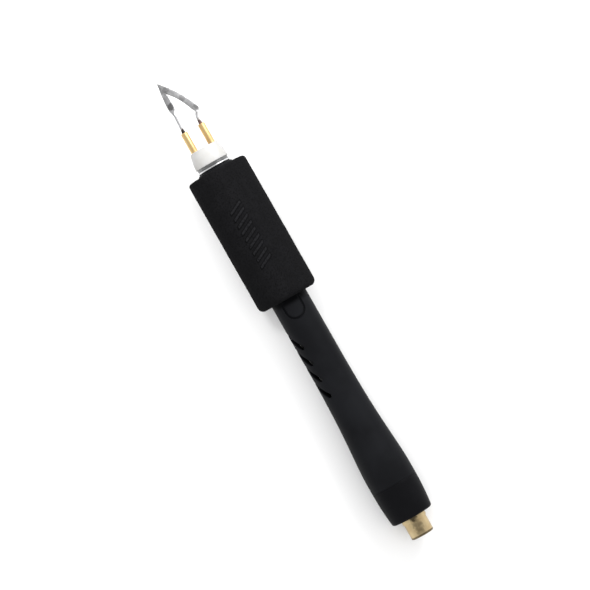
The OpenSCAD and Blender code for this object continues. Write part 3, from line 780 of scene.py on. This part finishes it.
class BURNINGPEN_OT_rear_cap(bpy.types.Operator):
    """Build the rear cap that the jack is screwed into"""

    bl_idname = "burningpen.rear_cap"
    bl_label = "Rear Cap"

    def execute(self, context):
        jack = context.scene.burning_pen_jack
        handle = context.scene.burning_pen_handle
        hole = jack.bushing_radius + FIT
        floor = CAP_REAR + jack.cap_floor
        drop = FLARE_RADIUS - jack.cap_end_radius
        outline = [(CAP_REAR, hole), (CAP_REAR, jack.cap_end_radius)]
        for x in spread(CAP_REAR, HANDLE_REAR, 16)[1:-1]:
            outline.append((x, FLARE_RADIUS - drop * ((HANDLE_REAR - x) / (HANDLE_REAR - CAP_REAR)) ** 2))
        outline += [
            (HANDLE_REAR, FLARE_RADIUS), (HANDLE_REAR, jack.spigot_radius),
            (CAP_FRONT, jack.spigot_radius), (CAP_FRONT, jack.cavity_radius),
            (floor, jack.cavity_radius), (floor, hole),
        ]
        bm = spun(outline, 160)
        soften(
            bm, (CAP_REAR, jack.cap_end_radius, jack.cap_round, 6),
            (HANDLE_REAR, FLARE_RADIUS, handle.parting_bevel, 2), (CAP_REAR, hole, 0.1 * MM, 2),
        )
        material = moulded_plastic("Cap Plastic", handle.cap_plastic)
        finished_piece("cap_moulding", bm, material, "rear_cap")
        return {"FINISHED"}


# ---------- tip head ----------

THROUGH_BASE = 60 * MM  # long enough to run right through the base and its shank


class BURNINGPEN_OT_tip_head(bpy.types.Operator):
    """Build the white base, the bright ferrule under it and the two brass posts"""

    bl_idname = "burningpen.tip_head"
    bl_label = "Base, Ferrule and Posts"

    def execute(self, context):
        tip = context.scene.burning_pen_tip
        handle = context.scene.burning_pen_handle
        self.build_base(tip, handle)
        self.build_ferrule(tip, handle)
        brass = bright_metal("Post Brass", tip.brass, roughness=0.44, tarnish=0.3, scale=300.0)
        for side, offset in (("left", POST_OFFSET), ("right", -POST_OFFSET)):
            bm = self.post(tip)
            bmesh.ops.translate(bm, verts=bm.verts, vec=(0, offset, 0))
            finished_piece(f"post_{side}", bm, brass, f"{side}_post")
        return {"FINISHED"}

    def build_base(self, tip, handle):
        shank = handle.radius - handle.wall - FIT
        top = tip.base_top_radius
        height = BASE_FRONT - FERRULE_FRONT
        dome = [
            (FERRULE_FRONT + height * t, top + (BASE_RADIUS - top) * (1 - t ** 2)) for t in spread(0, 1, 20)
        ]
        outline = [(BASE_REAR, 0.0), (BASE_REAR, shank), (FERRULE_FRONT, shank), *dome, (BASE_FRONT, 0.0)]
        bm = spun(outline, 128, closed=False)
        soften(
            bm, (BASE_FRONT, top, tip.base_round, 4), (FERRULE_FRONT, BASE_RADIUS, 0.2 * MM, 4),
            (BASE_REAR, shank, 0.3 * MM, 4),
        )
        holes = []
        for offset in (POST_OFFSET, -POST_OFFSET):
            hole = bmesh.new()
            place = Matrix.Translation((BASE_FRONT, offset, 0)) @ Matrix.Rotation(math.pi / 2, 4, "Y")
            bmesh.ops.create_cone(
                hole, cap_ends=True, segments=64, radius1=POST_RADIUS + FIT, radius2=POST_RADIUS + FIT,
                depth=THROUGH_BASE, matrix=place,
            )
            holes.append(hole)
        bm = carved(bm, holes)
        finished_piece("base_insulator", bm, white_insulator(tip.base), "tip_base")

    def build_ferrule(self, tip, handle):
        bore = handle.radius - handle.wall
        bead = (FERRULE_FRONT - FERRULE_REAR) / 4
        neck = FERRULE_RADIUS - 0.25 * MM
        outline = [(FERRULE_REAR, bore)]
        outline += arc(FERRULE_REAR + bead, FERRULE_RADIUS - bead, bead, 0, 180, 16)
        outline += [(FERRULE_REAR + 2 * bead, neck), (FERRULE_FRONT, neck), (FERRULE_FRONT, bore)]
        # The neck in front of the bead is painted dark: painted shade, standing for the dark the polished
        # neck shows under the base
        dark_band = (FERRULE_REAR + 2 * bead - 0.15 * MM, FERRULE_REAR + 2 * bead, 0.8)
        steel = bright_metal(
            "Polished Steel", tip.steel, roughness=0.3, tarnish=0.1, scale=200.0, bands=[dark_band]
        )
        finished_piece("ferrule_ring", spun(outline, 128), steel, "front_ferrule")

    def post(self, tip):
        cup_end = POST_REAR + 5 * MM
        socket, socket_end = tip.socket_radius, POST_FRONT - tip.socket_depth
        bm = spun([
            (cup_end, 0.0), (cup_end, CUP_RADIUS), (POST_REAR, CUP_RADIUS), (POST_REAR, POST_RADIUS),
            (POST_FRONT, POST_RADIUS), (POST_FRONT, socket), (socket_end, socket), (socket_end, 0.0),
        ], 64, closed=False)
        soften(
            bm, (POST_FRONT, POST_RADIUS, tip.post_round, 5),
            (POST_REAR, POST_RADIUS, 0.1 * MM, 2), (POST_FRONT, socket, 0.1 * MM, 2),
        )
        return bm


# ---------- blade ----------

# The blade is one wire, hammered flat between its two legs. Each station across it is
# (outer edge, inner edge, thickness, keenness); an edge is (place to the left, height over the posts)
# in millimetres, and keenness thins the outer edge: 0 is a round wire and 1 a cutting edge.
APEX = (2.9, 18.4)
NOTCH = (1.9, 13.9)
STRAIGHT_HEEL = ((3.95, 8.3), (1.85, 8.3))
SLANTED_HEEL = ((-5.3, 5.2), (-2.9, 5.6))
BLADE_THICKNESS = 0.55
STRAIGHT_LEG = (
    ((3.65, -5.97), (2.75, -5.97), 0.9, 0.0),
    ((3.65, 1.7), (2.75, 1.7), 0.9, 0.0),
    ((3.5, 4.8), (2.6, 4.8), 0.9, 0.0),
    ((3.45, 6.1), (2.55, 6.1), 0.9, 0.0),
    ((3.6, 7.2), (2.45, 7.4), 0.75, 0.3),
)
SLANTED_LEG = (
    ((-5.0, 4.4), (-3.3, 5.0), 0.65, 0.5),
    ((-4.35, 3.8), (-3.55, 4.15), 0.9, 0.0),
    ((-3.95, 3.2), (-3.1, 3.5), 0.9, 0.0),
    ((-3.65, 1.7), (-2.75, 1.7), 0.9, 0.0),
    ((-3.65, -5.97), (-2.75, -5.97), 0.9, 0.0),
)

# Where burnt scale lies thick: (place to the left, height over the posts, radius) in millimetres, depth
SCALE_PATCHES = (
    (2.4, 17.0, 2.2, 0.45), (1.6, 15.1, 2.2, 0.62), (3.0, 12.2, 2.6, 0.3), (2.7, 9.6, 2.0, 0.75),
    (0.3, 13.4, 2.4, 0.3), (-1.9, 10.2, 2.0, 0.45), (-3.3, 7.8, 2.4, 0.3), (-4.5, 5.6, 1.8, 0.6),
    (-3.8, 3.5, 1.0, 0.3),
)
COLLAR_SEED = 7  # without a seed, noise_vector differs from run to run


def bowed(start, end, share, bulge):
    """A point on the line from start to end, bowed out by bulge to the left of its direction."""
    start, end = Vector(start), Vector(end)
    along = (end - start).normalized()
    return start.lerp(end, share) + Vector((-along.y, along.x)) * bulge * 4 * share * (1 - share)


def limb(heel, outer_bulge, inner_bulge, steps=7):
    """Stations from a limb's heel to just short of the point."""
    return [
        (bowed(heel[0], APEX, t, outer_bulge), bowed(heel[1], NOTCH, t, inner_bulge), BLADE_THICKNESS, 0.75)
        for t in spread(0, 1, steps + 1)[:-1]
    ]


def smooth_between(stations, steps):
    """Stations with more between them, on smooth curves through the given ones."""
    rows = [Vector((*outer, *inner)).to_tuple() + tuple(form) for outer, inner, *form in stations]
    ends = [rows[0], *rows, rows[-1]]
    fine = []
    for around in zip(ends, ends[1:], ends[2:], ends[3:]):
        for t in (step / steps for step in range(steps)):
            fine.append([
                0.5 * (2 * b + (c - a) * t + (2 * a - 5 * b + 4 * c - d) * t * t
                       + (3 * b - a - 3 * c + d) * t ** 3)
                for a, b, c, d in zip(*around)
            ])
    return [*fine, rows[-1]]


class BURNINGPEN_OT_skew_blade(bpy.types.Operator):
    """Build the skew blade with its two legs, and the solder that holds it in the posts"""

    bl_idname = "burningpen.skew_blade"
    bl_label = "Skew Blade"

    def execute(self, context):
        tip = context.scene.burning_pen_tip
        stations = [
            *STRAIGHT_LEG, *limb(STRAIGHT_HEEL, outer_bulge=-0.3, inner_bulge=0.2),
            (APEX, NOTCH, BLADE_THICKNESS, 0.9),
            *reversed(limb(SLANTED_HEEL, outer_bulge=0.85, inner_bulge=0.5)), *SLANTED_LEG,
        ]
        bm = self.loft(smooth_between(stations, 4), 28)
        self.hammer(bm, tip)
        patches = [
            ((POST_FRONT + height * MM, left * MM, 0.0), radius * MM, depth)
            for left, height, radius, depth in SCALE_PATCHES
        ]
        scorched = (POST_FRONT + 1.2 * MM, POST_FRONT + 2.6 * MM)
        flattened = (POST_FRONT + 3.2 * MM, POST_FRONT + 5 * MM)
        material = burnt_blade(tip, patches, scorched, flattened)
        finished_piece("blade_wire", bm, material, "skew_tip")
        self.build_solder(tip)
        return {"FINISHED"}

    def loft(self, stations, sides):
        """Extrudes one ring of points from station to station."""
        bm = bmesh.new()
        turn = bm.verts.layers.float.new("turn")
        ring = bmesh.ops.create_circle(bm, cap_ends=True, radius=1.0, segments=sides)["verts"]
        for vert in ring:
            vert[turn] = math.atan2(vert.co.y, vert.co.x)
        self.set_ring(ring, turn, stations[0])
        for station in stations[1:]:
            ring = extruded(bm, ring_edges(ring))
            self.set_ring(ring, turn, station)
        bmesh.ops.contextual_create(bm, geom=ring_edges(ring))
        bmesh.ops.recalc_face_normals(bm, faces=bm.faces)
        return bm

    def set_ring(self, ring, turn, station):
        outer, inner = Vector(station[0:2]), Vector(station[2:4])
        thickness, keenness = station[4:]
        flatness = 0.35 * min(1.0, max(0.0, keenness))
        for vert in ring:
            across, up = math.cos(vert[turn]), math.sin(vert[turn])
            point = (outer + inner) / 2 + (outer - inner) / 2 * across
            thinned = 1 - keenness * (1 + across) / 2
            rise = thickness / 2 * math.copysign(abs(up) ** (1 - flatness), up) * thinned
            vert.co = (POST_FRONT + point.y * MM, point.x * MM, rise * MM)

    def hammer(self, bm, tip):
        """Dents the flattened part, and leaves the legs round."""
        bm.normal_update()
        broad, fine = 1.1 * MM, 0.5 * MM
        for vert in bm.verts:
            flat = eased(vert.co.x, POST_FRONT + 3.5 * MM, POST_FRONT + 6.5 * MM)
            dent = noise.noise(vert.co / broad) + 0.5 * noise.noise(vert.co / fine)
            vert.co -= vert.normal * tip.hammering * (0.5 + dent) * flat

    def build_solder(self, tip):
        foot, top = tip.wire_radius + 0.24 * MM, tip.wire_radius + 0.07 * MM
        height, lean, unevenness = tip.collar_height, 0.35, 0.03 * MM
        outline = [(POST_FRONT + height * t, top + (foot - top) * (1 - t) ** 1.5) for t in spread(0, 1, 8)]
        bore = tip.wire_radius + 0.02 * MM
        outline += [(POST_FRONT + height, bore), (POST_FRONT, bore)]
        bm = spun(outline, 40)
        for vert in bm.verts:
            above = (vert.co.x - POST_FRONT) / height
            vert.co.x -= above * lean * (vert.co.y + foot)
        bmesh.ops.translate(bm, verts=bm.verts, vec=(0, POST_OFFSET, 0))
        bmesh.ops.mirror(bm, geom=bm.verts[:] + bm.edges[:] + bm.faces[:], axis="Y", merge_dist=0.0)
        noise.seed_set(COLLAR_SEED)
        for vert in bm.verts:
            vert.co += noise.noise_vector(vert.co / (0.8 * MM)) * unevenness
        bmesh.ops.recalc_face_normals(bm, faces=bm.faces)
        material = scorched_solder(tip.solder)
        finished_piece("solder_collars", bm, material, "tip_solder")


# ---------- jack ----------

INSULATOR_STEP = 0.5 * MM  # from the flange's rear face to the step in the bore
INSULATOR_WEB = 1 * MM  # thickness of the insulator in front of the contact's body
CONTACT_TAIL = 1 * MM  # radius of the contact's tail


class BURNINGPEN_OT_jack(bpy.types.Operator):
    """Build the phono jack: its gold-plated barrel, insulator and centre contact"""

    bl_idname = "burningpen.jack"
    bl_label = "Phono Jack"

    def execute(self, context):
        jack = context.scene.burning_pen_jack
        # The barrel's rear rim is painted darker; the patches along the top of the barrel and flange are
        # painted shade, darkening the top as its reflection of the dim room overhead would
        dark_band = (JACK_REAR + 0.9 * MM, JACK_REAR + 0.6 * MM, 0.75)
        shade_patches = [
            ((CAP_REAR - behind * MM, left * MM, jack.barrel_radius), radius * MM, depth)
            for behind, left, radius, depth in (
                (0.3, 0.2, 1.8, 0.9), (2.4, 0.0, 2.2, 0.4), (4.0, -0.1, 2.4, 0.4), (5.6, 0.1, 2.2, 0.4),
            )
        ]
        gold = bright_metal(
            "Gold Plating", jack.plating, roughness=0.34, tarnish=0.3, scale=300.0,
            bands=[dark_band], shade_patches=shade_patches,
        )
        self.build_shell(jack, gold)
        self.build_insulator(jack)
        self.build_contact(jack, gold)
        return {"FINISHED"}

    def build_shell(self, jack, gold):
        flange = JACK_REAR + jack.barrel_length
        barrel, bushing = jack.barrel_radius, jack.bushing_radius
        bore, bushing_bore = barrel - jack.barrel_wall, bushing - jack.bushing_wall
        step = flange + INSULATOR_STEP
        bm = spun([
            (step, bore), (JACK_REAR, bore), (JACK_REAR, barrel), (flange, barrel),
            (flange, JACK_RADIUS), (CAP_REAR, JACK_RADIUS), (CAP_REAR, bushing),
            (JACK_FRONT, bushing), (JACK_FRONT, bushing_bore), (step, bushing_bore),
        ], 128)
        soften(
            bm, (JACK_REAR, barrel, jack.rim_round * 0.9, 6), (JACK_REAR, bore, 0.12 * MM, 3),
            (flange, JACK_RADIUS, 0.18 * MM, 3), (CAP_REAR, JACK_RADIUS, 0.05 * MM, 3),
            (JACK_FRONT, bushing, 0.15 * MM, 3),
        )
        notch_size = (2.4 * MM, jack.spanner_width, 0.7 * MM)
        notches = [block(notch_size, (flange, 0, side * JACK_RADIUS)) for side in (1, -1)]
        finished_piece("jack_barrel", carved(bm, notches), gold, "jack_shell")

    def build_insulator(self, jack):
        outer = jack.barrel_radius - jack.barrel_wall - FIT
        neck = jack.bushing_radius - jack.bushing_wall - FIT
        bore = jack.socket_radius + jack.contact_wall + FIT
        tail = CONTACT_TAIL + FIT
        step = JACK_REAR + jack.barrel_length + INSULATOR_STEP - FIT
        web = INSULATOR_FRONT - INSULATOR_WEB + FIT
        bm = spun([
            (INSULATOR_REAR, bore), (INSULATOR_REAR, outer), (step, outer), (step, neck),
            (INSULATOR_FRONT, neck), (INSULATOR_FRONT, tail), (web, tail), (web, bore),
        ], 96)
        soften(bm, (INSULATOR_REAR, bore, 0.15 * MM, 2), (INSULATOR_REAR, outer, 0.1 * MM, 2))
        plastic = soft_plastic("Jack Plastic", (0.016, 0.016, 0.018), 0.42)
        finished_piece("jack_plug_body", bm, plastic, "jack_insulator")

    def build_contact(self, jack, gold):
        inner = jack.socket_radius
        outer = inner + jack.contact_wall
        web = INSULATOR_FRONT - INSULATOR_WEB
        bore_end = CONTACT_REAR + jack.socket_depth
        cup_end = CONTACT_FRONT - 3 * MM
        bm = spun([
            (bore_end, 0.0), (bore_end, inner), (CONTACT_REAR, inner), (CONTACT_REAR, outer), (web, outer),
            (web, CONTACT_TAIL), (CONTACT_FRONT, CONTACT_TAIL), (CONTACT_FRONT, CUP_RADIUS),
            (cup_end, CUP_RADIUS), (cup_end, 0.0),
        ], 72, closed=False)
        soften(bm, (CONTACT_REAR, inner, 0.08 * MM, 2), (CONTACT_REAR, outer, 0.06 * MM, 2))
        slit_depth = jack.socket_depth - 1.5 * MM
        slit = block((2 * slit_depth, 10 * MM, jack.slit_width), (CONTACT_REAR, 0, 0))
        finished_piece("jack_socket", carved(bm, [slit]), gold, "jack_contact")


class BURNINGPEN_OT_inner_parts(bpy.types.Operator):
    """Give the parts inside the handle their metal, copper and wire-covering finishes"""

    bl_idname = "burningpen.inner_parts"
    bl_label = "Inner Parts"

    def execute(self, context):
        finishes = {
            bright_metal("Tinned Metal", (0.70, 0.70, 0.68), roughness=0.34, tarnish=0.2): (
                "ground_lug", "solder_joints",
            ),
            bright_metal("Plated Steel", (0.62, 0.63, 0.64), roughness=0.28, tarnish=0.15): (
                "lock_washer", "jack_nut",
            ),
            bright_metal("Lead Copper", (0.78, 0.38, 0.22), roughness=0.3, tarnish=0.3): (
                "left_lead_core", "right_lead_core",
            ),
            soft_plastic("Lead Covering", (0.014, 0.014, 0.015), 0.45): (
                "left_lead_insulation", "right_lead_insulation",
            ),
            soft_plastic("Heat Shrink", (0.018, 0.018, 0.019), 0.55): (
                "left_post_sleeve", "right_post_sleeve", "jack_sleeve",
            ),
        }
        for material, names in finishes.items():
            for name in names:
                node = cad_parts[name]
                node.data.materials.clear()
                node.data.materials.append(material)
        return {"FINISHED"}


# ---------- stage ----------

FLOOR_HALF = 4.0  # metres
FLOOR_LIT, FLOOR_MIRRORED = 0.5, 0.8  # the floor's share of its colour in the light it gives back
ROOM_TOP = 0.9  # upward part of a direction past which the room is evenly bright
ROOM_LIT, ROOM_MIRRORED = (0.55, 1.4), (0.8, 0.66)  # brightness at the horizon and overhead


class BURNINGPEN_OT_stage(bpy.types.Operator):
    """Lay the pen on a pale floor, light it softly, and look down on it"""

    bl_idname = "burningpen.stage"
    bl_label = "Stage"

    def execute(self, context):
        stage = context.scene.burning_pen_stage
        lean = stage.lean
        self.right = Vector((-math.sin(lean), -math.cos(lean), 0))
        self.up = Vector((math.cos(lean), -math.sin(lean), 0))
        self.lay_floor(context, stage)
        self.set_world(context)
        self.add_key_light()
        self.add_head_light()
        self.add_camera(context, stage)
        context.scene.view_settings.view_transform = "Standard"
        return {"FINISHED"}

    def lay_floor(self, context, stage):
        """The pen rests on the grip's rear shoulder and on the flare, so the floor slopes a little."""
        grip_x = GRIP_REAR + context.scene.burning_pen_grip.rear_round
        flare_x = HANDLE_REAR + context.scene.burning_pen_handle.flare_land
        slope = math.atan2(GRIP_RADIUS - FLARE_RADIUS, grip_x - flare_x)
        bm = bmesh.new()
        bmesh.ops.create_grid(bm, x_segments=1, y_segments=1, size=FLOOR_HALF)
        bmesh.ops.rotate(bm, cent=(0, 0, 0), matrix=Matrix.Rotation(slope, 3, "Y"), verts=bm.verts)
        bmesh.ops.translate(bm, verts=bm.verts, vec=(grip_x, 0, -GRIP_RADIUS))
        floor = loose_object("floor", bm)
        finish = Finish("Pale Floor", specular=0.0)
        mottle = finish.group("Surface Mottle", Scale=6.0, Low=0.9, High=1.0)
        paths = finish.add("ShaderNodeLightPath", {})
        paper = finish.blend(mottle["Mask"], stage.floor, shade(stage.floor, 0.99))
        lit, mirrored = shade(stage.floor, FLOOR_LIT), shade(stage.floor, FLOOR_MIRRORED)
        unseen = finish.blend(paths["Is Glossy Ray"], lit, mirrored)
        finish.feed(finish.blend(paths["Is Camera Ray"], unseen, paper), finish.sockets["Base Color"])
        finish.feed(mottle["Value"], finish.sockets["Roughness"])
        floor.data.materials.append(finish.material)

    def set_world(self, context):
        """A white room, dimmer towards the horizon; polished parts see it more evenly."""
        world = bpy.data.worlds.new("Soft White")
        world.use_nodes = True
        nodes = Nodes(world.node_tree)
        direction = nodes.add("ShaderNodeTexCoord", {})["Generated"]
        height = nodes.add("ShaderNodeSeparateXYZ", {"Vector": direction})["Z"]
        paths = nodes.add("ShaderNodeLightPath", {})
        lit = nodes.ramp(height, 0.0, ROOM_TOP, *ROOM_LIT)
        mirrored = nodes.ramp(height, 0.0, ROOM_TOP, *ROOM_MIRRORED)
        change = nodes.times(nodes.minus(mirrored, lit), paths["Is Glossy Ray"])
        background = world.node_tree.nodes["Background"].inputs
        background["Color"].default_value = (1.0, 1.0, 1.0, 1.0)
        nodes.feed(nodes.larger(nodes.plus(lit, change), paths["Is Camera Ray"]), background["Strength"])
        context.scene.world = world

    def seen(self, right, up, height=0.0):
        """The point that lies so far to the right, up the view and above the pen's axis, in metres."""
        return self.right * right + self.up * up + Vector((0, 0, height))

    def hang(self, light, place, target):
        lamp = bpy.data.objects.new(light.name, light)
        lamp.location = place
        lamp.rotation_mode = "QUATERNION"
        lamp.rotation_quaternion = (target - lamp.location).to_track_quat("-Z", "Y")
        bpy.context.scene.collection.objects.link(lamp)
        return lamp

    def add_key_light(self):
        """A square softbox above the tip, a little to the right."""
        light = bpy.data.lights.new("Key", "AREA")
        light.shape = "SQUARE"
        light.size = 0.22
        light.energy = 1.7
        self.hang(light, self.seen(0.14, 0.38, 0.24), Vector((0, 0, 0)))

    def add_head_light(self):
        """A soft pool of light on the floor beside the grip and the tip, kept out of reflections."""
        light = bpy.data.lights.new("Head Light", "SPOT")
        light.spot_size = math.radians(20)
        light.spot_blend = 1.0
        light.shadow_soft_size = 0.06
        light.energy = 6.0
        self.hang(light, self.seen(-0.22, 0.26, 0.5), self.seen(-0.055, 0.06)).visible_glossy = False

    def add_camera(self, context, stage):
        lens = bpy.data.cameras.new("Camera")
        lens.sensor_width = 36.0
        lens.lens = lens.sensor_width * stage.camera_height / stage.view_width
        camera = bpy.data.objects.new("Camera", lens)
        place = self.seen(stage.shift_right, stage.shift_up, stage.camera_height)
        turn = Matrix((self.right, self.up, Vector((0, 0, 1)))).transposed()
        camera.matrix_world = Matrix.Translation(place) @ turn.to_4x4()
        context.scene.collection.objects.link(camera)
        context.scene.camera = camera


# ---------- add-on ----------


class BURNINGPEN_PT_panel(bpy.types.Panel):
    """The pen's pieces and their settings"""

    bl_label = "Burning Pen"
    bl_space_type = "VIEW_3D"
    bl_region_type = "UI"
    bl_category = "Burning Pen"

    def draw(self, context):
        for operator in OPERATORS:
            self.layout.operator(operator.bl_idname)
        for group_name, kind in SETTINGS.items():
            box = self.layout.box()
            for name in kind.__annotations__:
                box.prop(getattr(context.scene, group_name), name)


SETTINGS = {
    "burning_pen_handle": HandleSettings,
    "burning_pen_grip": GripSettings,
    "burning_pen_tip": TipSettings,
    "burning_pen_jack": JackSettings,
    "burning_pen_stage": StageSettings,
}
OPERATORS = (
    BURNINGPEN_OT_handle,
    BURNINGPEN_OT_grip,
    BURNINGPEN_OT_rear_cap,
    BURNINGPEN_OT_tip_head,
    BURNINGPEN_OT_skew_blade,
    BURNINGPEN_OT_jack,
    BURNINGPEN_OT_inner_parts,
    BURNINGPEN_OT_stage,
)


def register():
    for kind in (*SETTINGS.values(), *OPERATORS, BURNINGPEN_PT_panel):
        bpy.utils.register_class(kind)
    for name, kind in SETTINGS.items():
        setattr(bpy.types.Scene, name, PointerProperty(type=kind))


def unregister():
    for name in SETTINGS:
        delattr(bpy.types.Scene, name)
    for kind in reversed((*SETTINGS.values(), *OPERATORS, BURNINGPEN_PT_panel)):
        bpy.utils.unregister_class(kind)


def main():
    register()
    bpy.ops.burningpen.handle()
    bpy.ops.burningpen.grip()
    bpy.ops.burningpen.rear_cap()
    bpy.ops.burningpen.tip_head()
    bpy.ops.burningpen.skew_blade()
    bpy.ops.burningpen.jack()
    bpy.ops.burningpen.inner_parts()
    bpy.ops.burningpen.stage()


if __name__ == "__main__":
    main()
